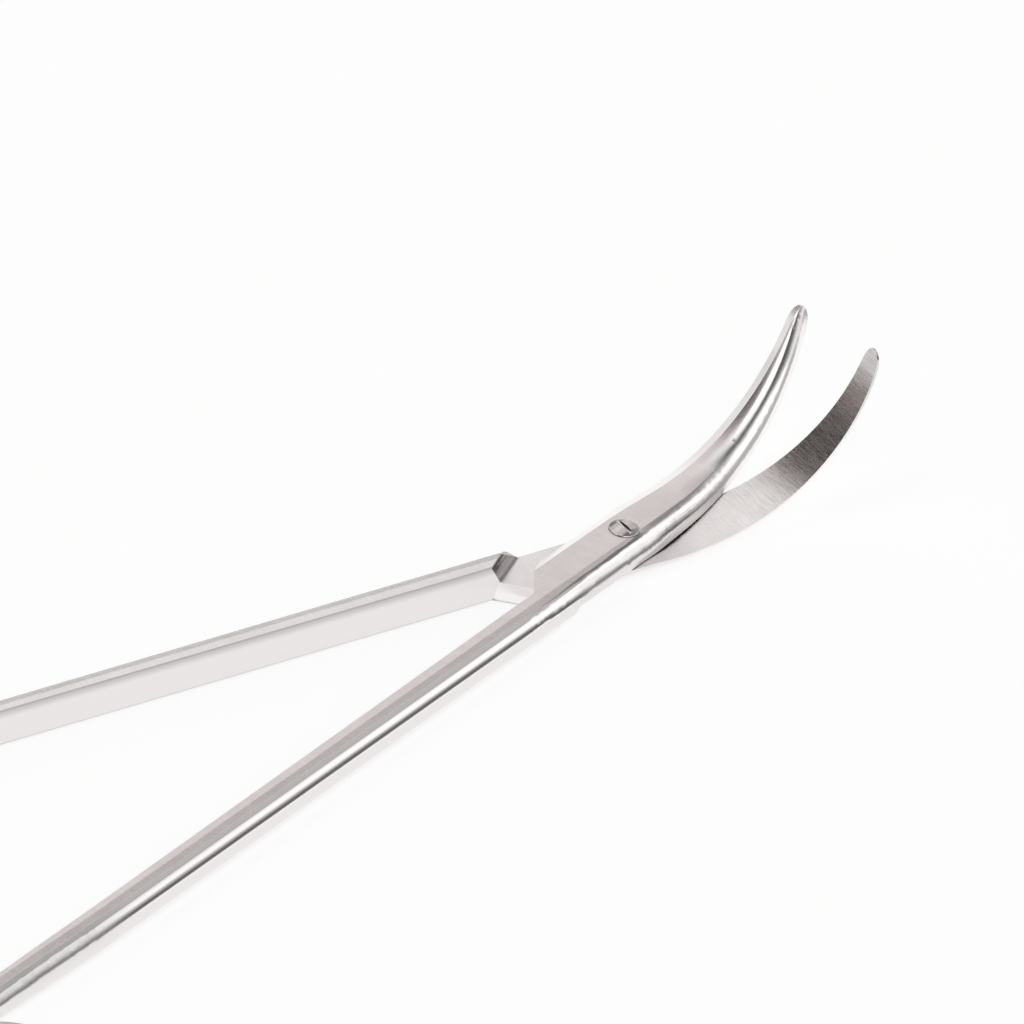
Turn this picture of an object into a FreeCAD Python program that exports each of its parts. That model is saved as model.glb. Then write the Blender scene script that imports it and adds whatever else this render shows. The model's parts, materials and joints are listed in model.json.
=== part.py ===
import FreeCAD, Part
import math
import os

from FreeCAD import Vector

# Dissecting scissors, long shanked, with blades curved upwards on the flat.
# Two forged halves turn on one slotted joint screw. Millimetres throughout.
# The pivot axis is +Z through the origin, +X points between the blades to the
# tips, and z = 0 is the surface that the scissors lie on.
# Each half is described in its own closed position by three measures:
# s along the blade from the pivot, y across it towards its back, and n away
# from the face that meets the other half. side is +1 for the upper half,
# whose n points up, and -1 for the lower half, which is turned over.

# Overall
overall_length = 230.0
half_thickness = 2.95
rest_opening = 19.9
face_gap = 0.05

# Blade, measured along its curve from the pivot
blade_arc = 51.95
straight_arc = 9.7
tip_slope = 80.3
slope_growth = 1.31
cutting_offset_pivot = 4.7
cutting_offset_tip = 1.36
back_offset_pivot = 5.85
back_offset_middle = 3.75
flat_offset_pivot = 3.05
flat_offset_middle = 2.37
flat_offset_tip = 0.13
tip_thickness = 1.3
taper_growth = 1.15
tip_rounding = 3.6
tip_blunt = 3.0
profile_ease = 0.06

# Blade section
edge_rounding = 2.95
crown_share = 0.075
crown_full = 0.6
back_land = 0.45
hone_width = 0.18
hone_height = 0.55
plain_land = 0.25
relief_slope = 0.06
relief_full = 9.0

# Box joint: the ground shoulder that the other half's plate closes against,
# as distances from the pivot to its foot, middle height and top
lower_shoulder_angle = 35.8
lower_shoulder_foot = 12.42
lower_shoulder_middle = 12.94
lower_shoulder_top = 13.48
upper_shoulder_angle = 44.6
upper_shoulder_foot = 15.4
upper_shoulder_middle = 15.75
upper_shoulder_top = 15.85
shoulder_fillet = 0.56
shoulder_clearance = 0.15
plate_rear = -28.0

# Ground relief along the lower half's outer side, in front of its shoulder
relief_rear = -18.6
relief_front = -1.5
relief_run = 2.2
relief_depth = 0.5

# Facet that breaks the outer corner of the lower half's shoulder
corner_angle = 77.6
corner_foot = 15.82
corner_recede = 1.32

# Shank
shank_inner_chamfer = 0.2
shank_inner_front = 0.1
shank_inner_rear = 1.0
shank_width_rear = 4.1
shank_rear = -128.0
neck_overlap = 7.0
neck_inner_end = 0.75
neck_width_end = 3.6
neck_height_end = 2.2

# Finger rings, sizes on the centre line of the ring's wire
ring_half_length = 17.5
ring_half_width = 13.2
ring_end_radius = 11.4
ring_wire = 4.8
ring_tilt = 5.0
ring_gap = 0.8
ring_flats = 24

# Joint screw
screw_radius = 1.45
screw_head_radius = 2.25
screw_sink_depth = 1.2
screw_rim_height = 0.06
screw_edge_break = 0.08
screw_dome_rise = 0.46
screw_slot_width = 0.55
screw_slot_depth = 0.3
screw_slot_angle = 81.0
running_clearance = 0.04
thread_fit = 0.01

# Small numbers used only to build
curve_steps = 80
circle_handle = 0.5523
blade_steps = 16
blade_step_growth = 1.3
neck_steps = 3
tip_steps = 6
least_flat = 0.3
plate_overlap = 0.5
cut_margin = 1.0

contact_height = half_thickness
face_offset = face_gap / 2
reach = back_offset_pivot - plate_rear
shoulder_break = half_thickness / 2
lower_shoulder = [lower_shoulder_foot, lower_shoulder_middle, lower_shoulder_top]
upper_shoulder = [upper_shoulder_foot, upper_shoulder_middle, upper_shoulder_top]


def smooth_step(value):
    value = min(max(value, 0.0), 1.0)
    return value * value * (3 - 2 * value)


def blade_slope(s):
    share = (s - straight_arc) / (blade_arc - straight_arc)
    share = min(max(share, 0.0), 1.0)
    return math.radians(tip_slope) * share ** slope_growth


def spine_point(s):
    """Place of the contact surface at s: x forwards and rise above the joint."""
    if s <= straight_arc:
        return s, 0.0
    step = (s - straight_arc) / curve_steps
    x = straight_arc
    rise = 0.0
    for index in range(curve_steps):
        slope = blade_slope(straight_arc + (index + 0.5) * step)
        x += step * math.cos(slope)
        rise += step * math.sin(slope)
    return x, rise


def on_blade(side, s, y, n):
    x, rise = spine_point(s)
    slope = blade_slope(s)
    out = side * n
    return Vector(x - out * math.sin(slope), side * y,
                  contact_height + rise + out * math.cos(slope))


def on_joint(side, x, y, n):
    return Vector(x, side * y, contact_height + side * n)


def curve(start, handle_a, handle_b, end):
    bezier = Part.BezierCurve()
    bezier.setPoles([start, handle_a, handle_b, end])
    return bezier.toShape()


def quarter_round(place, start, end, lean=0.0):
    """Round in the section, leaving start at the slope lean and reaching end along n."""
    run = circle_handle * (end[0] - start[0])
    handle_a = (start[0] + run, start[1] + lean * run)
    handle_b = (end[0], end[1] + (1 - circle_handle) * (start[1] - end[1]))
    return curve(place(start), place(handle_a), place(handle_b), place(end))


def line(place, start, end):
    return Part.makeLine(place(start), place(end))


def crowned_flat(place, start, end, rise):
    """Shallow arch in the section from start to end, which are level."""
    third = (end[0] - start[0]) / 3
    handle_rise = start[1] + 4 * rise / 3
    handle_a = (start[0] + third, handle_rise)
    handle_b = (end[0] - third, handle_rise)
    return curve(place(start), place(handle_a), place(handle_b), place(end))


def eased_share(s):
    """Share of the blade's length at s, starting level so that the outline has no kink."""
    share = s / blade_arc
    full = 1 - profile_ease * (1 - math.exp(-1 / profile_ease))
    return (share - profile_ease * (1 - math.exp(-share / profile_ease))) / full


def blend(share, at_pivot, middle, at_tip):
    rest = 1 - share
    return at_pivot * rest ** 2 + 2 * middle * share * rest + at_tip * share ** 2


def blade_section(side, s, shrink=1.0):
    share = eased_share(s)
    cutting = cutting_offset_pivot * (1 - share) + cutting_offset_tip * share
    back = blend(share, back_offset_pivot, back_offset_middle, cutting_offset_tip)
    flat_back = blend(share, flat_offset_pivot, flat_offset_middle, flat_offset_tip)
    taper = (s / blade_arc) ** taper_growth
    thickness = half_thickness + (tip_thickness - half_thickness) * taper
    flat_cutting = cutting - edge_rounding * thickness / half_thickness
    crown = crown_share * smooth_step(share / crown_full)
    honed = smooth_step(s / relief_full)
    hone_y = hone_width * honed
    hone_n = plain_land + (hone_height - plain_land) * honed
    lift = relief_slope * honed * (cutting + back)

    def place(point):
        return on_blade(side, s, shrink * point[0], face_offset + shrink * point[1])

    rise = crown * (flat_back + flat_cutting)
    flat_n = thickness - face_offset - rise
    edge = (-cutting, 0.0)
    heel = (back, lift)
    heel_top = (back, lift + back_land)
    flat_a = (flat_back, flat_n)
    flat_b = (-flat_cutting, flat_n)
    hone = (-cutting + hone_y, hone_n)
    return Part.Wire([
        line(place, edge, heel),
        line(place, heel, heel_top),
        line(place, heel_top, flat_a),
        crowned_flat(place, flat_a, flat_b, rise),
        quarter_round(place, flat_b, hone, 4 * crown),
        line(place, hone, edge),
    ])


def make_blade(side):
    tip_start = blade_arc - tip_rounding
    stations = [tip_start * (step / blade_steps) ** blade_step_growth
                for step in range(blade_steps + 1)]
    main = Part.makeLoft([blade_section(side, s) for s in stations], True, False)
    sections = []
    for step in range(tip_steps):
        share = math.sin(math.pi / 2 * step / tip_steps)
        narrowing = math.sqrt(1 - share ** tip_blunt)
        sections.append(blade_section(side, tip_start + share * tip_rounding, narrowing))
    tip = Part.makeLoft(sections, True, False)
    return main.fuse(tip)


def prism(side, outline, x_start, x_end):
    """Closed outline of (y, n) points drawn from one x to another."""
    points = [on_joint(side, x_start, y, n) for y, n in outline]
    face = Part.Face(Part.makePolygon(points + points[:1]))
    return face.extrude(Vector(x_end - x_start, 0, 0))


def slanted_prism(side, slant, outline, towards_back):
    """Closed outline of (distance, n) points, drawn along a line at the slant."""
    angle = math.radians(slant)
    across = Vector(-math.sin(angle), side * towards_back * math.cos(angle), 0)
    along = Vector(math.cos(angle), side * towards_back * math.sin(angle), 0)
    points = []
    for distance, n in outline:
        height = Vector(0, 0, contact_height + side * n)
        points.append(across * distance + height - along * reach)
    face = Part.Face(Part.makePolygon(points + points[:1]))
    return face.extrude(along * (2 * reach))


def shoulder_of(side):
    """Slant of a half's own shoulder, and its distances from the foot upwards."""
    if side > 0:
        return upper_shoulder_angle, upper_shoulder
    return lower_shoulder_angle, lower_shoulder


def fillet_reach(foot, middle):
    """How far in front of the foot's corner the fillet starts on the plate."""
    slope = math.atan2(shoulder_break, middle - foot)
    return shoulder_fillet * math.tan(slope / 2)


def make_plate(side):
    inside = -cutting_offset_pivot + edge_rounding + plate_overlap
    outline = [
        (inside, face_offset),
        (back_offset_pivot, face_offset),
        (back_offset_pivot, face_offset + back_land),
        (flat_offset_pivot, half_thickness),
        (inside, half_thickness),
    ]
    plate = prism(side, outline, plate_rear, 0.0)
    slant, (foot, middle, top) = shoulder_of(-side)
    gap = fillet_reach(foot, middle) + shoulder_clearance
    behind = slanted_prism(side, slant, [
        (foot - gap, -cut_margin),
        (foot - gap, 0.0),
        (middle - gap, shoulder_break),
        (top - gap, half_thickness),
        (top - gap, half_thickness + cut_margin),
        (reach, half_thickness + cut_margin),
        (reach, -cut_margin),
    ], 1)
    return plate.cut(behind)


def shank_section(side, x, inner, outer, half_height):
    rounding = min(edge_rounding, outer - inner - least_flat)
    land = plain_land + face_offset
    break_in = inner + shank_inner_chamfer
    wall = half_height - shank_inner_chamfer

    def place(point):
        return on_joint(side, x, point[0], point[1])

    corners = [
        (-(outer - rounding), -half_height),
        (-break_in, -half_height),
        (-inner, -wall),
        (-inner, wall),
        (-break_in, half_height),
        (-(outer - rounding), half_height),
    ]
    land_high = (-outer, land)
    land_low = (-outer, -land)
    edges = [line(place, a, b) for a, b in zip(corners, corners[1:])]
    edges.append(quarter_round(place, corners[-1], land_high))
    edges.append(line(place, land_high, land_low))
    edges.append(quarter_round(place, corners[0], land_low))
    return Part.Wire(edges)


def space_ahead(side):
    """All that lies in front of a half's shoulder, on the other half's side."""
    slant, (foot, middle, top) = shoulder_of(side)
    space = slanted_prism(side, slant, [
        (-reach, -half_thickness - cut_margin),
        (top, -half_thickness - cut_margin),
        (top, -half_thickness),
        (middle, -shoulder_break),
        (foot, face_offset),
        (-reach, face_offset),
    ], -1)
    angle = math.radians(slant)
    foot_place = Vector(-math.sin(angle) * foot, -side * math.cos(angle) * foot,
                        contact_height + side * face_offset)
    edge = min(space.Edges, key=lambda item: item.CenterOfMass.distanceToPoint(foot_place))
    return space.makeFillet(shoulder_fillet, [edge])


def side_relief(side):
    """Sliver ground off the outer side, drawn in plan and as deep as the half."""
    outline = [
        (relief_rear, 0.0),
        (relief_rear + relief_run, relief_depth),
        (relief_front - relief_run, relief_depth),
        (relief_front, 0.0),
        (relief_front, -cut_margin),
        (relief_rear, -cut_margin),
    ]
    height = half_thickness + cut_margin
    points = [on_joint(side, x, depth - cutting_offset_pivot, -height)
              for x, depth in outline]
    face = Part.Face(Part.makePolygon(points + points[:1]))
    return face.extrude(Vector(0, 0, side * 2 * height))


def corner_facet(side):
    """All that lies outside the facet on the outer corner of the shoulder."""
    height = half_thickness + cut_margin
    return slanted_prism(side, corner_angle, [
        (-reach, -height),
        (corner_foot + corner_recede * height, -height),
        (corner_foot, 0.0),
        (-reach, 0.0),
    ], -1)


def make_shank(side):
    front = shank_section(side, 0.0, shank_inner_front, cutting_offset_pivot,
                          half_thickness)
    front = Part.Face(front).extrude(Vector(plate_rear, 0, 0))
    front = front.cut(space_ahead(side))
    if side < 0:
        front = front.cut(side_relief(side))
        front = front.cut(corner_facet(side))
    outer_rear = shank_inner_rear + shank_width_rear
    straight = Part.makeLoft([
        shank_section(side, plate_rear, shank_inner_front, cutting_offset_pivot,
                      half_thickness),
        shank_section(side, shank_rear, shank_inner_rear, outer_rear, half_thickness),
    ], True, True)
    neck_end = ring_centre()[0] + neck_overlap
    sections = []
    for step in range(neck_steps + 1):
        share = step / neck_steps
        inner = shank_inner_rear + (neck_inner_end - shank_inner_rear) * share
        outer = outer_rear + (neck_inner_end + neck_width_end - outer_rear) * share
        height = half_thickness + (neck_height_end - half_thickness) * share ** 2
        x = shank_rear + (neck_end - shank_rear) * share
        sections.append(shank_section(side, x, inner, outer, height))
    neck = Part.makeLoft(sections, True, False)
    return front.fuse(straight).fuse(neck)


def ring_centre():
    tip_x = spine_point(blade_arc)[0]
    x = tip_x - overall_length + ring_half_length + ring_wire / 2
    y = ring_gap / 2 + ring_wire / 2 + ring_half_width
    return x, y


def ring_arc(centre, radius, start, sweep):
    """Part of the ring's wire, turned about centre from start by sweep degrees.

    The wire is round in narrow flats, so that the ring stays light.
    """
    outward = Vector(math.cos(math.radians(start)), math.sin(math.radians(start)), 0)
    points = []
    for flat in range(ring_flats + 1):
        turn = 2 * math.pi * (flat % ring_flats + 0.5) / ring_flats
        out = radius + ring_wire / 2 * math.cos(turn)
        points.append(centre + outward * out + Vector(0, 0, ring_wire / 2 * math.sin(turn)))
    outline = Part.makePolygon(points)
    return Part.Face(outline).revolve(centre, Vector(0, 0, 1), sweep)


def make_ring(side):
    end_offset = ring_half_length - ring_end_radius
    side_radius = ((end_offset ** 2 + ring_half_width ** 2 - ring_end_radius ** 2)
                   / (2 * (ring_half_width - ring_end_radius)))
    side_offset = side_radius - ring_half_width
    turn = math.degrees(math.atan2(side_offset, end_offset))
    level = contact_height
    ring = ring_arc(Vector(end_offset, 0, level), ring_end_radius, -turn, 2 * turn)
    flank = 180 - 2 * turn
    pieces = [
        ring_arc(Vector(0, -side_offset, level), side_radius, turn, flank),
        ring_arc(Vector(-end_offset, 0, level), ring_end_radius, 180 - turn, 2 * turn),
        ring_arc(Vector(0, side_offset, level), side_radius, 180 + turn, flank),
    ]
    for piece in pieces:
        ring = ring.fuse(piece)
    x, y = ring_centre()
    ring.rotate(Vector(0, 0, 0), Vector(0, 0, 1), side * ring_tilt)
    ring.translate(Vector(x, -side * y, 0))
    return ring


def screw_bore(side):
    height = 2 * half_thickness
    if side < 0:
        return Part.makeCylinder(screw_radius + thread_fit, height,
                                 Vector(0, 0, -cut_margin))
    bore = Part.makeCylinder(screw_radius + running_clearance, height,
                             Vector(0, 0, contact_height - cut_margin))
    top = contact_height + half_thickness
    sink_low = screw_radius + running_clearance
    sink_high = screw_head_radius + running_clearance
    sink = Part.makeCone(sink_low, sink_high, screw_sink_depth,
                         Vector(0, 0, top - screw_sink_depth))
    mouth = Part.makeCylinder(sink_high, cut_margin, Vector(0, 0, top))
    return bore.fuse(sink).fuse(mouth)


def make_half(side):
    half = make_blade(side).fuse(make_plate(side))
    half = half.fuse(make_shank(side))
    half = half.fuse(make_ring(side))
    half = half.cut(screw_bore(side))
    half = half.removeSplitter()
    half.rotate(Vector(0, 0, 0), Vector(0, 0, 1), side * rest_opening / 2)
    return half


def make_screw():
    top = contact_height + half_thickness
    sink_top = top + running_clearance
    rim = top + screw_rim_height
    dome_radius = screw_head_radius - screw_edge_break
    dome_foot = rim + screw_edge_break
    crown = dome_foot + screw_dome_rise
    ball = (dome_radius ** 2 + screw_dome_rise ** 2) / (2 * screw_dome_rise)
    half_way = dome_radius / 2
    half_rise = crown - ball + math.sqrt(ball ** 2 - half_way ** 2)
    points = [
        Vector(0, 0, crown),
        Vector(0, 0, 0),
        Vector(screw_radius, 0, 0),
        Vector(screw_radius, 0, sink_top - screw_sink_depth),
        Vector(screw_head_radius, 0, sink_top),
        Vector(screw_head_radius, 0, rim),
        Vector(dome_radius, 0, dome_foot),
    ]
    edges = [Part.makeLine(a, b) for a, b in zip(points, points[1:])]
    dome = Part.Arc(points[-1], Vector(half_way, 0, half_rise), points[0])
    edges.append(dome.toShape())
    screw = Part.Face(Part.Wire(edges)).revolve(Vector(0, 0, 0), Vector(0, 0, 1), 360)
    length = 2 * screw_head_radius + cut_margin
    slot = Part.makeBox(length, screw_slot_width, screw_slot_depth + cut_margin,
                        Vector(-length / 2, -screw_slot_width / 2, crown - screw_slot_depth))
    slot.rotate(Vector(0, 0, 0), Vector(0, 0, 1), screw_slot_angle)
    return screw.cut(slot)


def main():
    os.makedirs("parts", exist_ok=True)
    nodes = {
        "upper_half": make_half(1),
        "lower_half": make_half(-1),
        "joint_screw": make_screw(),
    }
    for name, shape in nodes.items():
        box = shape.BoundBox
        print(name, "solids", len(shape.Solids), "valid", shape.isValid(),
              "volume", round(shape.Volume, 2), "faces", len(shape.Faces),
              [round(v, 2) for v in (box.XMin, box.YMin, box.ZMin, box.XMax, box.YMax, box.ZMax)])
        shape.exportStep("parts/" + name + ".step")


main()
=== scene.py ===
import json
import math

import bpy
from mathutils import Matrix, Vector


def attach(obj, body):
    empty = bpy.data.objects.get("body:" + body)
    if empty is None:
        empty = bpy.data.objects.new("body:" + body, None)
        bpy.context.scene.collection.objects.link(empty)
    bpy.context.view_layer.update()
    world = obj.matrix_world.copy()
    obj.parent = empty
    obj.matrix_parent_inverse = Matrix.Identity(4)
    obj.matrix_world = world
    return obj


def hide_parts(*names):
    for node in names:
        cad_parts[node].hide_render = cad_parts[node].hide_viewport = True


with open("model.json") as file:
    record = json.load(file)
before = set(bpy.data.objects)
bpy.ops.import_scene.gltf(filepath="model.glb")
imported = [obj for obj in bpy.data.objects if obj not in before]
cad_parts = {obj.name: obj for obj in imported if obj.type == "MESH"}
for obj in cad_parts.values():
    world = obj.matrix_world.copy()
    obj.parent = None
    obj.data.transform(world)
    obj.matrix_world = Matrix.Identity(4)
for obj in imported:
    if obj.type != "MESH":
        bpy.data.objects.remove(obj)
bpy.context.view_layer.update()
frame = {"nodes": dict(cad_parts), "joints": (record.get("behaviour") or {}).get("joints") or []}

bl_info = {
    "name": "Dissecting Scissors",
    "version": (1, 0, 0),
    "blender": (4, 5, 0),
    "location": "3D View > Sidebar > Scissors",
    "description": "Finishes the steel halves and the joint screw, and sets up a studio",
    "category": "Add Mesh",
}

# The joint's lower limit is the closed position, in degrees from rest, and its
# place is the middle of the joint's height.
pivot = frame["joints"][0]
rest_opening = -pivot["range_deg"][0]
plate_top = 2 * pivot["pos_m"][2]

MILLIMETRE = 0.001
SAME_PLACE = 1e-6
UP = (0.0, 0.0, 1.0)
WHITE = (1.0, 1.0, 1.0, 1.0)

# The camera
IMAGE_SIDE = 1024
SENSOR_WIDTH = 36.0
CLIP_START = 0.05
CLIP_END = 20.0

# Places along a half, in metres from the pivot: where a change of finish or of
# painted shade starts and where it is complete. Behind RING_START lies the ring's wire.
RING_START = -0.143
NECK = (-0.128, -0.118)
TROUGH_SHIFT = (-0.03, 0.0)
PLATE = (-0.001, 0.004)
BLADE = (0.0, 0.012)
BLADE_LINES = (0.008, 0.032)
CROWN = (0.016, 0.024)
RIM = (0.03, 0.045)
TIP = (0.034, 0.043)
BLUNT_END = (0.0395, 0.0412)
JOINT_FRONT = (0.002, 0.006)
JOINT_END = (0.016, 0.026)

# The height on a wall where the painted shade under its upper edge starts and is complete
UNDER_EDGE = (0.0042, 0.0058)

# Bands along a half: from, to, and how softly both sides fade
SHOULDER_LENGTH = (-0.025, -0.012, 0.001)
BENT_LENGTH = (-0.014, 0.021, 0.006)

# How far a surface faces up, down, sideways or to the tip, as the cosine of
# the angle: where a change starts and is complete, or a band
TO_OTHER_HALF = (-0.1, 0.1)
UPPER_SIDE = (0.1, 0.3)
BLADE_ROUND = (0.12, 0.5)
SHANK_ROUND = (0.32, 0.46)
CROWN_OUTWARD = (-0.12, 0.08)
RIM_OUTWARD = (-0.35, -0.05)
WALL = (0.9, 0.97)
TO_TIP = (0.0, 0.1)
TROUGH_BAND = (-0.09, 0.02, 0.08)
TROUGH_MIDDLE = 0.36
TROUGH_RISE = 0.16
JOINT_BAND = (0.7, 0.84, 0.05)
TURNING_BAND = (0.12, 0.33, 0.08)
SHOULDER_SIDEWAYS = (-0.86, -0.3, 0.06)
SHOULDER_UPWARDS = (0.2, 0.93, 0.04)

# Colours of the painted shade and painted dark reflections on the steel, and how much of each is
# laid over it
EDGE_PAINTED_SHADE = (0.1, 0.095, 0.1, 1.0)
TROUGH_PAINTED_REFLECTION = (0.08, 0.075, 0.075, 1.0)
JOINT_PAINTED_SHADE = (0.15, 0.14, 0.145, 1.0)
SHOULDER_PAINTED_SHADE = (0.12, 0.105, 0.105, 1.0)
GAP_PAINTED_SHADOW = (0.01, 0.01, 0.01, 1.0)
RIM_SHADE = 0.32
TIP_SHADE = 0.3
TROUGH_SHADE = 0.72
JOINT_SHADE = 0.5
WALL_SHADE = 0.14
UNDER_EDGE_SHADE = 0.3
SHOULDER_SHADE = 0.66
SHOULDER_STRIPES = 0.9
GAP_SHADE = 0.96
GAP_OPEN = (0.35, 0.8)
GAP_SAMPLES = 8

# Textures of the ground steel, and what changes its roughness
CLOUD_SCALE = 260.0
STRIPE_SCALE = 2600.0
DARK_SATIN = 0.8
LIGHT_SATIN = 1.2
TINT_RANGE = (-0.3, 0.3)
LINE_SHARE = 0.25
BLADE_LINE_SHARE = 0.9
GRAIN_SHARE = 0.3
CLOUD_SHARE = 0.2
GRAIN_HEIGHT = 0.4
BUMP_STRENGTH = 0.25
BUMP_DISTANCE = 0.00002
BLADE_SMOOTHER = 0.08
GRAIN_ROUGHER = 0.14
TURNING_ROUGHER = 0.3
TURNING_DULLER = 0.6
BENT_ROUGHER = 0.11
BLUNT_ROUGHER = 0.25

# The studio's dome. Two long light boxes lie along it with a dark gap between
# them, and are placed by three axes: across them, along them, and over them.
# Directions are azimuth from +X towards +Y and elevation, in degrees.
ACROSS_BOXES = (112.8, 10)
ALONG_BOXES = (22.8, 0)
ABOVE_HORIZON = (0.02, 0.14)
LOW_SIDE = (-0.6, -0.4)
LOW_SIDE_HEIGHT = (0.02, 0.1)
LOW_SIDE_SHADE = 0.42
NEAR_BOX = (-0.3, -0.12, 0.11)
NEAR_BOX_FOOT = (0.2, 0.4)
NEAR_BOX_LIFT = 0.25
NEAR_BOX_LIFT_END = (-0.2, 0.2)
NEAR_BOX_END = (0.7, 0.8)
NEAR_BOX_LIGHT = 0.5
FAR_BOX = (0.36, 0.44)
FAR_BOX_SLANT = 0.45
FAR_BOX_BACK = (0.4, 0.5)
FAR_BOX_END = (0.0, 0.15)
FAR_BOX_LIGHT = 0.6
GAP = (-0.035, 0.31, 0.06)
GAP_LEAN = 0.16
GAP_LEAN_ALONG = (0.45, 0.8)
GAP_LEAN_ACROSS = (0.08, 0.28)
GAP_DARKNESS = 0.92
HORIZON = (0.03, 0.22, 0.05)
HORIZON_DARKNESS = 0.75
OPENING_DARKNESS = 0.95
OPENING_TINT = (1.0, 0.8, 0.72, 1.0)
LOW_OPENING_SHARE = 0.7

# Round patches of the dome: azimuth, elevation, radius and soft rim, in
# degrees, and for the bright ones the light that they add
CORNER_PATCH = (45, 35, 16, 20)
CORNER_LIGHT = 0.25
BRIGHT_PATCHES = (((-26, 26, 6, 4), 0.6), ((-10, 37, 6, 8), 0.2))
HIGH_OPENING = (120, 36, 17, 13)
LOW_OPENING = (131, 6, 12, 12)
HORIZON_PATCH = (-35, 5, 20, 15)


class Wire:
    """One output socket, with the arithmetic that shader maths needs."""

    def __init__(self, graph, socket):
        self.graph = graph
        self.socket = socket

    def maths(self, operation, *values):
        return self.graph.add("ShaderNodeMath", {"operation": operation}, list(values))

    def __add__(self, other):
        return self.maths("ADD", self, other)

    def __radd__(self, other):
        return self.maths("ADD", other, self)

    def __sub__(self, other):
        return self.maths("SUBTRACT", self, other)

    def __rsub__(self, other):
        return self.maths("SUBTRACT", other, self)

    def __mul__(self, other):
        return self.maths("MULTIPLY", self, other)

    def __rmul__(self, other):
        return self.maths("MULTIPLY", other, self)

    def __abs__(self):
        return self.maths("ABSOLUTE", self)

    def ramp(self, low, high):
        """Smooth step from 0 to 1 as the value goes from low to high."""
        return self.graph.add(
            "ShaderNodeMapRange",
            {"interpolation_type": "SMOOTHSTEP"},
            {"Value": self, "From Min": low, "From Max": high},
        )

    def band(self, low, high, soft):
        """1 between low and high, fading to 0 over soft on both sides."""
        return self.ramp(low - soft, low) * (1 - self.ramp(high, high + soft))


class Graph:
    """Adds nodes to one node tree."""

    def __init__(self, tree):
        self.tree = tree
        tree.nodes.clear()

    def make(self, kind, settings=None, inputs=None):
        """Add one node. A Wire among the inputs is linked, anything else is set."""
        node = self.tree.nodes.new(kind)
        for name, value in (settings or {}).items():
            setattr(node, name, value)
        pairs = inputs.items() if isinstance(inputs, dict) else enumerate(inputs or [])
        for name, value in pairs:
            socket = node.inputs[name]
            if isinstance(value, Wire):
                self.tree.links.new(value.socket, socket)
            else:
                socket.default_value = value
        return node

    def add(self, kind, settings=None, inputs=None, output=0):
        return Wire(self, self.make(kind, settings, inputs).outputs[output])

    def mix(self, factor, first, second):
        settings = {"data_type": "RGBA"}
        return self.add("ShaderNodeMix", settings, {0: factor, 6: first, 7: second}, 2)

    def dot(self, first, second):
        settings = {"operation": "DOT_PRODUCT"}
        return self.add("ShaderNodeVectorMath", settings, [first, second], "Value")

    def noise(self, place, scale=1.0, detail=2.0, roughness=0.6):
        """Cloudy noise, in space for a vector and along a line for a number."""
        inputs = {"Scale": scale, "Detail": detail, "Roughness": roughness}
        line = place.socket.type == "VALUE"
        settings = {"noise_dimensions": "1D" if line else "3D"}
        inputs["W" if line else "Vector"] = place
        return self.add("ShaderNodeTexNoise", settings, inputs)


class SteelSettings(bpy.types.PropertyGroup):
    satin_colour: bpy.props.FloatVectorProperty(
        name="Satin colour", description="Colour of the ground flats", subtype="COLOR",
        size=3, min=0, max=1, default=(0.82, 0.75, 0.742))
    polish_colour: bpy.props.FloatVectorProperty(
        name="Polish colour", description="Colour of the polished rounds", subtype="COLOR",
        size=3, min=0, max=1, default=(0.97, 0.935, 0.935))
    satin_roughness: bpy.props.FloatProperty(
        name="Satin roughness", description="Roughness of the ground flats",
        subtype="FACTOR", min=0, max=1, default=0.36)
    polish_roughness: bpy.props.FloatProperty(
        name="Polish roughness", description="Roughness of the polished rounds",
        subtype="FACTOR", min=0, max=1, default=0.14)
    grain_size: bpy.props.FloatProperty(
        name="Grain size", description="Size of the satin grain", unit="LENGTH",
        default=0.00022)
    scratch_length: bpy.props.FloatProperty(
        name="Scratch length", description="Length of a grinding line across a blade",
        unit="LENGTH", default=0.004)
    shade_distance: bpy.props.FloatProperty(
        name="Shade distance", description="Reach of the darkening in narrow gaps",
        unit="LENGTH", default=0.0007)
    smooth_angle: bpy.props.FloatProperty(
        name="Smooth angle", description="Faces that meet at less than this shade as one",
        subtype="ANGLE", default=math.radians(24))


class StudioSettings(bpy.types.PropertyGroup):
    floor_colour: bpy.props.FloatVectorProperty(
        name="Floor colour", description="Colour of the floor", subtype="COLOR",
        size=3, min=0, max=1, default=(0.90, 0.885, 0.88))
    floor_side: bpy.props.FloatProperty(
        name="Floor side", description="Length of the floor's side", unit="LENGTH",
        default=6.0)
    floor_glow: bpy.props.FloatProperty(
        name="Floor glow", description="Brightness of the floor where it is seen",
        default=1.17)
    floor_glow_share: bpy.props.FloatProperty(
        name="Floor glow share", description="Share of the glow in the floor that is seen",
        subtype="FACTOR", min=0, max=1, default=0.7)
    dome_level: bpy.props.FloatProperty(
        name="Dome level", description="Brightness of the soft light from all round",
        default=0.8)


class CameraSettings(bpy.types.PropertyGroup):
    azimuth: bpy.props.FloatProperty(
        name="Azimuth", description="Heading of the view, from +Y towards +X",
        subtype="ANGLE", default=math.radians(48.53))
    elevation: bpy.props.FloatProperty(
        name="Elevation", description="Height of the view above the horizon",
        subtype="ANGLE", default=math.radians(33.35))
    roll: bpy.props.FloatProperty(
        name="Roll", description="Clockwise turn of the picture", subtype="ANGLE",
        default=math.radians(7.01))
    distance: bpy.props.FloatProperty(
        name="Distance", description="From the camera to the joint screw", unit="LENGTH",
        default=1.4286)
    pixels_per_mm: bpy.props.FloatProperty(
        name="Pixels per millimetre", description="Scale of the picture at the screw",
        default=7.0)
    screw_pixel: bpy.props.FloatVectorProperty(
        name="Screw pixel", description="Where the joint plate's top shows at the screw",
        size=2, default=(624.0, 528.7))


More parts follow.
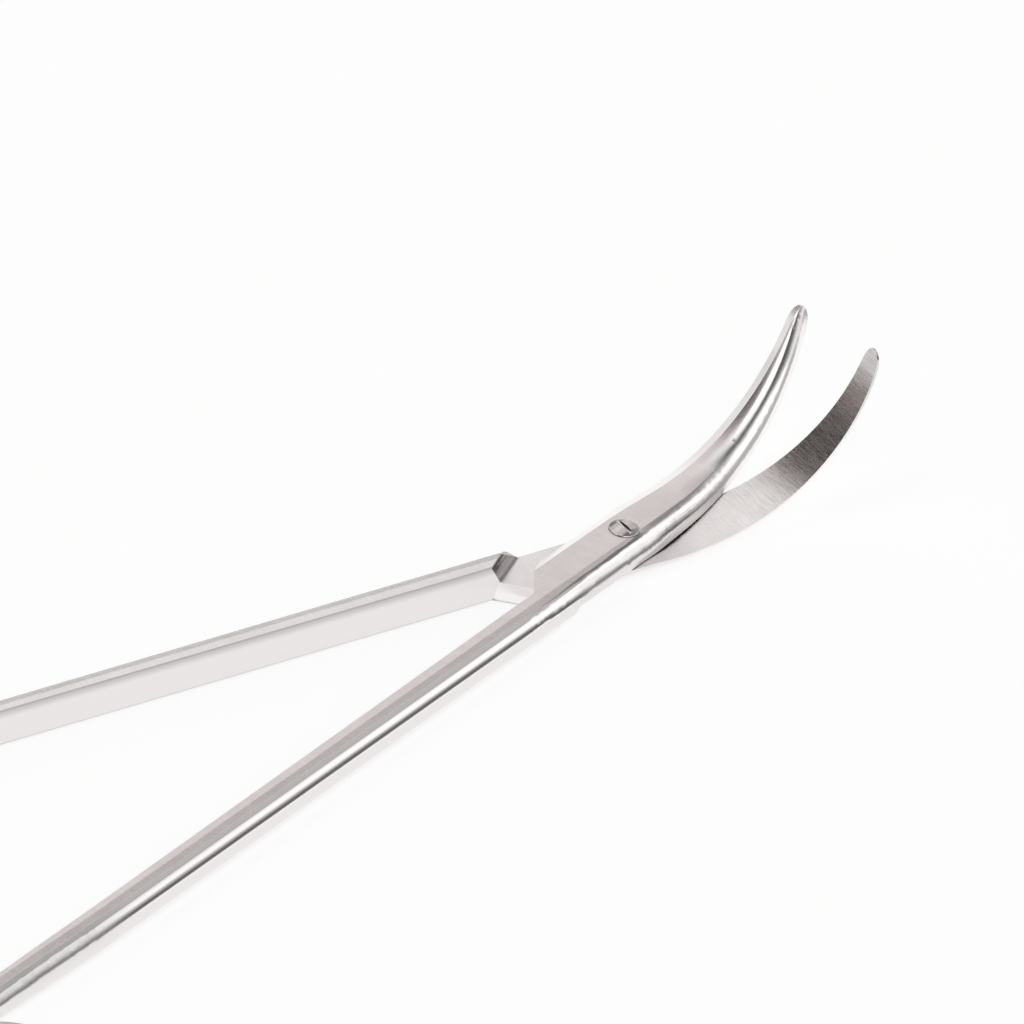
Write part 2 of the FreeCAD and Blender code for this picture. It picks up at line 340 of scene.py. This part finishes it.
def heading(degrees):
    """Unit vectors along and across a half that is turned by degrees from +X."""
    angle = math.radians(degrees)
    along = (math.cos(angle), math.sin(angle), 0.0)
    across = (-math.sin(angle), math.cos(angle), 0.0)
    return along, across


class Surface:
    """What each point of the steel knows: its place on the half and its facing.

    inner is +1 or -1 where the face that meets the other half looks up or down,
    and 0 on the screw.
    """

    def __init__(self, graph, turn, inner):
        self.graph = graph
        along, across = heading(turn)
        normal = graph.add("ShaderNodeTexCoord", output="Normal")
        self.place = graph.add("ShaderNodeTexCoord", output="Object")
        self.length = graph.dot(self.place, along)
        self.width = graph.dot(self.place, across)
        self.height = graph.dot(self.place, UP)
        self.to_tip = graph.dot(normal, along)
        self.to_side = graph.dot(normal, across)
        self.upwards = graph.dot(normal, UP)
        self.sideways = abs(self.to_side)
        self.on_blade = self.length.ramp(*BLADE)
        self.on_shank = 1 - self.length.ramp(*PLATE)
        to_other_half = (inner * self.upwards).ramp(*TO_OTHER_HALF)
        self.outer_face = (1 - to_other_half) * abs(inner)
        self.outward = inner * self.to_side
        self.upper_side = self.upwards.ramp(*UPPER_SIDE)
        self.ground_face = self.on_blade * to_other_half * abs(inner)
        self.blunt_end = self.length.ramp(*BLUNT_END) * self.outer_face
        self.turning = self.sideways.band(*TURNING_BAND) * self.on_shank * self.upper_side
        self.polished = self.polish()

    def polish(self):
        """1 on the rounds and on the crowned blades, 0 on the ground flats."""
        blade = self.sideways.ramp(*BLADE_ROUND)
        shank = self.sideways.ramp(*SHANK_ROUND)
        share = blade + self.on_shank * (shank - blade)
        crown = self.length.ramp(*CROWN) * self.outward.ramp(*CROWN_OUTWARD)
        return share + (1 - share) * crown * self.outer_face

    def shades(self):
        """Painted shade and painted dark reflections on the steel, each with its colour, in
        order.
        """
        # Painted dark reflection on the outer face towards the blade's far edge, and painted
        # shade on the ground face near the tip
        rim = self.length.ramp(*RIM) * (1 - self.outward.ramp(*RIM_OUTWARD))
        rim = rim * self.outer_face * (1 - self.blunt_end)
        tip = self.ground_face * self.length.ramp(*TIP)
        # Painted dark reflection: a dark band along the shank beside its polished round
        middle = TROUGH_MIDDLE + TROUGH_RISE * (1 - self.length.ramp(*TROUGH_SHIFT))
        painted_trough_reflection = (self.sideways - middle).band(*TROUGH_BAND) * self.on_shank
        # Painted shade on the upper side of the round near the joint
        joint = self.length.ramp(*JOINT_FRONT) * (1 - self.length.ramp(*JOINT_END))
        joint = joint * self.sideways.band(*JOINT_BAND)
        # Painted shade on the side walls behind the blade, darker towards their upper edge
        wall = self.sideways.ramp(*WALL) * (1 - self.on_blade)
        painted_under_edge_shade = wall * self.height.ramp(*UNDER_EDGE)
        return (
            (RIM_SHADE * rim + TIP_SHADE * tip, EDGE_PAINTED_SHADE),
            (TROUGH_SHADE * painted_trough_reflection * self.upper_side, TROUGH_PAINTED_REFLECTION),
            (JOINT_SHADE * joint * self.upper_side, JOINT_PAINTED_SHADE),
            (WALL_SHADE * wall + UNDER_EDGE_SHADE * painted_under_edge_shade, EDGE_PAINTED_SHADE),
        )

    def shoulder(self):
        """Painted shade on the slanted shoulder of the box joint, with its grinding stripes."""
        place = self.length.band(*SHOULDER_LENGTH)
        facing = self.to_side.band(*SHOULDER_SIDEWAYS)
        facing = facing * self.upwards.band(*SHOULDER_UPWARDS)
        stripes = self.graph.noise(self.height * STRIPE_SCALE)
        shade = SHOULDER_SHADE + SHOULDER_STRIPES * (0.5 - stripes)
        return place * facing * self.to_tip.ramp(*TO_TIP) * shade


def steel(name, turn, settings, inner=0.0, level=1.0):
    """Ground satin on the flats, polish on the rounds, grinding lines across.

    turn is the half's turn from +X in degrees, inner is as in Surface, and level
    lightens the satin.
    """
    material = bpy.data.materials.new(name)
    material.use_nodes = True
    graph = Graph(material.node_tree)
    surface = Surface(graph, turn, inner)
    ground_face = surface.ground_face
    polished = surface.polished

    fine = 1 / settings.grain_size
    coarse = 1 / settings.scratch_length
    drawn_out = graph.add(
        "ShaderNodeCombineXYZ", None,
        [surface.length * fine, surface.width * coarse, surface.height * fine])
    lines = graph.noise(drawn_out, detail=3.0)
    grain = graph.noise(surface.place, fine)
    cloud = graph.noise(surface.place, CLOUD_SCALE, roughness=0.5)

    satin = [min(1.0, level * part) for part in settings.satin_colour]
    dark_satin = [DARK_SATIN * part for part in satin] + [1.0]
    light_satin = [min(1.0, LIGHT_SATIN * part) for part in satin] + [1.0]
    flat = 1 - polished
    blade_lines = BLADE_LINE_SHARE * ground_face * surface.length.ramp(*BLADE_LINES)
    line_share = LINE_SHARE + blade_lines
    tint = line_share * (lines - 0.5)
    tint = tint + GRAIN_SHARE * (grain - 0.5) + CLOUD_SHARE * (cloud - 0.5)
    ground = graph.mix((flat * tint).ramp(*TINT_RANGE), dark_satin, light_satin)
    colour = graph.mix(polished, ground, (*settings.polish_colour, 1.0))
    # Lay the painted shade and painted dark reflections over the steel's colour
    for share, shade in surface.shades():
        colour = graph.mix(share, colour, shade)
    # Painted shade, with grinding stripes in it, on the lower half's shoulder
    if inner > 0:
        colour = graph.mix(surface.shoulder(), colour, SHOULDER_PAINTED_SHADE)
    # Painted shadow: ambient occlusion darkens the steel to near black in narrow gaps between
    # the parts
    in_the_open = graph.add(
        "ShaderNodeAmbientOcclusion", {"samples": GAP_SAMPLES},
        {"Distance": settings.shade_distance}, "AO")
    painted_gap_shadow = GAP_SHADE * (1 - in_the_open.ramp(*GAP_OPEN))
    colour = graph.mix(painted_gap_shadow, colour, GAP_PAINTED_SHADOW)

    rough_flat = settings.satin_roughness - BLADE_SMOOTHER * ground_face
    rough_flat = rough_flat + GRAIN_ROUGHER * (grain - 0.5)
    rough_flat = rough_flat + GRAIN_ROUGHER * ground_face * (lines - 0.5)
    roughness = rough_flat + polished * (settings.polish_roughness - rough_flat)
    roughness = roughness + TURNING_ROUGHER * surface.turning
    bent = surface.length.band(*BENT_LENGTH) + 1 - surface.length.ramp(*NECK)
    roughness = roughness + BENT_ROUGHER * polished * bent
    roughness = roughness + BLUNT_ROUGHER * surface.blunt_end

    bump = graph.add(
        "ShaderNodeBump", None,
        {"Strength": BUMP_STRENGTH, "Distance": BUMP_DISTANCE,
         "Height": (lines * line_share + grain * GRAIN_HEIGHT) * flat})
    shader = graph.add(
        "ShaderNodeBsdfPrincipled", None,
        {"Base Color": colour, "Metallic": 1 - TURNING_DULLER * surface.turning,
         "Roughness": roughness, "Normal": bump})
    graph.make("ShaderNodeOutputMaterial", None, [shader])
    return material


def finished_copy(node, name):
    """A copy of a CAD node's mesh, with the node's own normals."""
    piece = bpy.data.objects.new(name, frame["nodes"][node].data.copy())
    bpy.context.scene.collection.objects.link(piece)
    piece.data.materials.clear()
    return piece


def round_off(piece, behind, along, angle):
    """Shade the narrow flats of the wire that lies behind a distance as one round."""
    mesh = piece.data
    normals = [Vector(corner.vector) for corner in mesh.corner_normals]
    meeting = {}
    for loop in mesh.loops:
        place = mesh.vertices[loop.vertex_index].co
        if place.dot(along) < behind:
            key = tuple(round(part / SAME_PLACE) for part in place)
            meeting.setdefault(key, []).append(loop.index)
    rounded = list(normals)
    for corners in meeting.values():
        for corner in corners:
            near = [normals[other] for other in corners
                    if normals[corner].angle(normals[other], 0.0) < angle]
            rounded[corner] = sum(near, Vector()).normalized()
    mesh.normals_split_custom_set(rounded)


class SCISSORS_OT_halves(bpy.types.Operator):
    """Finish both forged halves in satin steel with polished rounds"""

    bl_idname = "scissors.halves"
    bl_label = "Halves"

    def execute(self, context):
        settings = context.scene.scissors_steel
        for node, body, turn, inner, level in (
            ("upper_half", "upper_body", rest_opening / 2, -1.0, 0.93),
            ("lower_half", "lower_body", -rest_opening / 2, 1.0, 1.08),
        ):
            piece = finished_copy(node, node + "_finished")
            along = Vector(heading(turn)[0])
            round_off(piece, RING_START, along, settings.smooth_angle)
            finish = steel("satin_" + node, turn, settings, inner, level)
            piece.data.materials.append(finish)
            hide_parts(node)
            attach(piece, body)
        return {"FINISHED"}


class SCISSORS_OT_screw(bpy.types.Operator):
    """Finish the slotted joint screw in polished steel"""

    bl_idname = "scissors.screw"
    bl_label = "Joint screw"

    def execute(self, context):
        settings = context.scene.scissors_steel
        piece = finished_copy("joint_screw", "joint_screw_finished")
        piece.data.materials.append(steel("screw_steel", 0.0, settings))
        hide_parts("joint_screw")
        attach(piece, "lower_body")
        return {"FINISHED"}


def direction(azimuth, elevation):
    """Unit vector from azimuth and elevation in degrees."""
    a = math.radians(azimuth)
    e = math.radians(elevation)
    return Vector((math.cos(a) * math.cos(e), math.sin(a) * math.cos(e), math.sin(e)))


def patch(graph, way, azimuth, elevation, radius, soft):
    """1 inside a round patch of the studio's dome, fading to 0 over soft degrees."""
    near = math.cos(math.radians(radius))
    far = math.cos(math.radians(radius + soft))
    return graph.dot(way, direction(azimuth, elevation)).ramp(far, near)


def dome_light(graph, way, level):
    """Brightness of the dome in each direction, and where its openings lie."""
    side = direction(*ACROSS_BOXES)
    ahead = direction(*ALONG_BOXES)
    across = graph.dot(way, side)
    along = graph.dot(way, ahead)
    over = graph.dot(way, ahead.cross(side))
    upright = graph.dot(way, UP)
    above = over.ramp(*ABOVE_HORIZON)

    light = level * (1 + CORNER_LIGHT * patch(graph, way, *CORNER_PATCH))
    low_side = (1 - across.ramp(*LOW_SIDE)) * upright.ramp(*LOW_SIDE_HEIGHT)
    light = light * (1 - LOW_SIDE_SHADE * low_side)

    lifted = over - NEAR_BOX_LIFT * (1 - along.ramp(*NEAR_BOX_LIFT_END))
    near_box = across.band(*NEAR_BOX) * lifted.ramp(*NEAR_BOX_FOOT)
    light = light + NEAR_BOX_LIGHT * near_box * (1 - along.ramp(*NEAR_BOX_END))
    for place, gain in BRIGHT_PATCHES:
        light = light + gain * patch(graph, way, *place)
    back = (across + FAR_BOX_SLANT * along).ramp(*FAR_BOX_BACK)
    far_box = across.ramp(*FAR_BOX) * (1 - back) * above
    light = light + FAR_BOX_LIGHT * far_box * (1 - along.ramp(*FAR_BOX_END))

    lean = GAP_LEAN * along.ramp(*GAP_LEAN_ALONG) * across.ramp(*GAP_LEAN_ACROSS)
    gap = (across + lean).band(*GAP) * above
    light = light * (1 - GAP_DARKNESS * gap)
    high_opening = patch(graph, way, *HIGH_OPENING)
    low_opening = LOW_OPENING_SHARE * patch(graph, way, *LOW_OPENING)
    openings = 1 - (1 - high_opening) * (1 - low_opening)
    light = light * (1 - OPENING_DARKNESS * openings)
    horizon = upright.band(*HORIZON) * patch(graph, way, *HORIZON_PATCH)
    return light * (1 - HORIZON_DARKNESS * horizon), openings


class SCISSORS_OT_studio(bpy.types.Operator):
    """Set the pale floor and the soft white dome with its darker openings"""

    bl_idname = "scissors.studio"
    bl_label = "Studio"

    def execute(self, context):
        settings = context.scene.scissors_studio
        bpy.ops.mesh.primitive_plane_add(size=settings.floor_side, location=(0, 0, 0))
        floor = context.active_object
        floor.name = "floor"
        material = bpy.data.materials.new("pale_floor")
        material.use_nodes = True
        graph = Graph(material.node_tree)
        path = graph.make("ShaderNodeLightPath")
        seen = Wire(graph, path.outputs["Is Camera Ray"])
        mirrored = Wire(graph, path.outputs["Is Glossy Ray"])
        diffuse = graph.add(
            "ShaderNodeBsdfDiffuse", None, {"Color": (*settings.floor_colour, 1.0)})
        white = graph.add(
            "ShaderNodeEmission", None, {"Color": WHITE, "Strength": settings.floor_glow})
        share = (seen + mirrored) * settings.floor_glow_share
        surface = graph.add("ShaderNodeMixShader", None, [share, diffuse, white])
        graph.make("ShaderNodeOutputMaterial", None, [surface])
        floor.data.materials.append(material)

        world = bpy.data.worlds.new("white_dome")
        context.scene.world = world
        world.use_nodes = True
        graph = Graph(world.node_tree)
        way = graph.add("ShaderNodeTexCoord", output="Generated")
        seen = graph.add("ShaderNodeLightPath", output="Is Camera Ray")
        light, openings = dome_light(graph, way, settings.dome_level)
        background = graph.add(
            "ShaderNodeBackground", None,
            {"Color": graph.mix(openings, WHITE, OPENING_TINT),
             "Strength": light + seen * (1 - light)})
        graph.make("ShaderNodeOutputWorld", None, [background])
        return {"FINISHED"}


class SCISSORS_OT_camera(bpy.types.Operator):
    """Place the long-lens camera at the photograph's viewing angle"""

    bl_idname = "scissors.camera"
    bl_label = "Camera"

    def execute(self, context):
        settings = context.scene.scissors_camera
        a = settings.azimuth
        e = settings.elevation
        level_right = Vector((math.cos(a), -math.sin(a), 0))
        forward_flat = Vector((math.sin(a), math.cos(a), 0))
        level_up = forward_flat * math.sin(e) + Vector((0, 0, math.cos(e)))
        back = Vector((0, 0, math.sin(e))) - forward_flat * math.cos(e)
        right = level_right * math.cos(settings.roll) + level_up * math.sin(settings.roll)
        up = level_up * math.cos(settings.roll) - level_right * math.sin(settings.roll)
        screw = Vector((0, 0, plate_top))
        place = screw + back * settings.distance
        metres_per_pixel = MILLIMETRE / settings.pixels_per_mm
        off_right = settings.screw_pixel[0] - IMAGE_SIDE / 2
        off_down = settings.screw_pixel[1] - IMAGE_SIDE / 2
        aim = screw + (up * off_down - right * off_right) * metres_per_pixel
        back = (place - aim).normalized()
        right = up.cross(back).normalized()
        up = back.cross(right)
        camera_data = bpy.data.cameras.new("camera")
        camera_data.sensor_width = SENSOR_WIDTH
        pixels = settings.distance / metres_per_pixel
        camera_data.lens = pixels * SENSOR_WIDTH / IMAGE_SIDE
        camera_data.clip_start = CLIP_START
        camera_data.clip_end = CLIP_END
        camera = bpy.data.objects.new("camera", camera_data)
        turned = Matrix((right, up, back)).transposed().to_4x4()
        camera.matrix_world = Matrix.Translation(place) @ turned
        context.scene.collection.objects.link(camera)
        context.scene.camera = camera
        context.scene.view_settings.view_transform = "Standard"
        return {"FINISHED"}


class SCISSORS_PT_panel(bpy.types.Panel):
    """Lists the settings and the operators of the scissors"""

    bl_idname = "SCISSORS_PT_panel"
    bl_label = "Dissecting scissors"
    bl_space_type = "VIEW_3D"
    bl_region_type = "UI"
    bl_category = "Scissors"

    def draw(self, context):
        layout = self.layout
        for name in ("scissors_steel", "scissors_studio", "scissors_camera"):
            group = getattr(context.scene, name)
            box = layout.box()
            for key in group.__annotations__:
                box.prop(group, key)
        for operator in operators:
            layout.operator(operator.bl_idname)


operators = (
    SCISSORS_OT_halves,
    SCISSORS_OT_screw,
    SCISSORS_OT_studio,
    SCISSORS_OT_camera,
)
classes = (SteelSettings, StudioSettings, CameraSettings, *operators, SCISSORS_PT_panel)


def register():
    for item in classes:
        bpy.utils.register_class(item)
    scene = bpy.types.Scene
    scene.scissors_steel = bpy.props.PointerProperty(type=SteelSettings)
    scene.scissors_studio = bpy.props.PointerProperty(type=StudioSettings)
    scene.scissors_camera = bpy.props.PointerProperty(type=CameraSettings)


def unregister():
    scene = bpy.types.Scene
    del scene.scissors_camera
    del scene.scissors_studio
    del scene.scissors_steel
    for item in reversed(classes):
        bpy.utils.unregister_class(item)


def main():
    register()
    bpy.ops.scissors.halves()
    bpy.ops.scissors.screw()
    bpy.ops.scissors.studio()
    bpy.ops.scissors.camera()


if __name__ == "__main__":
    main()
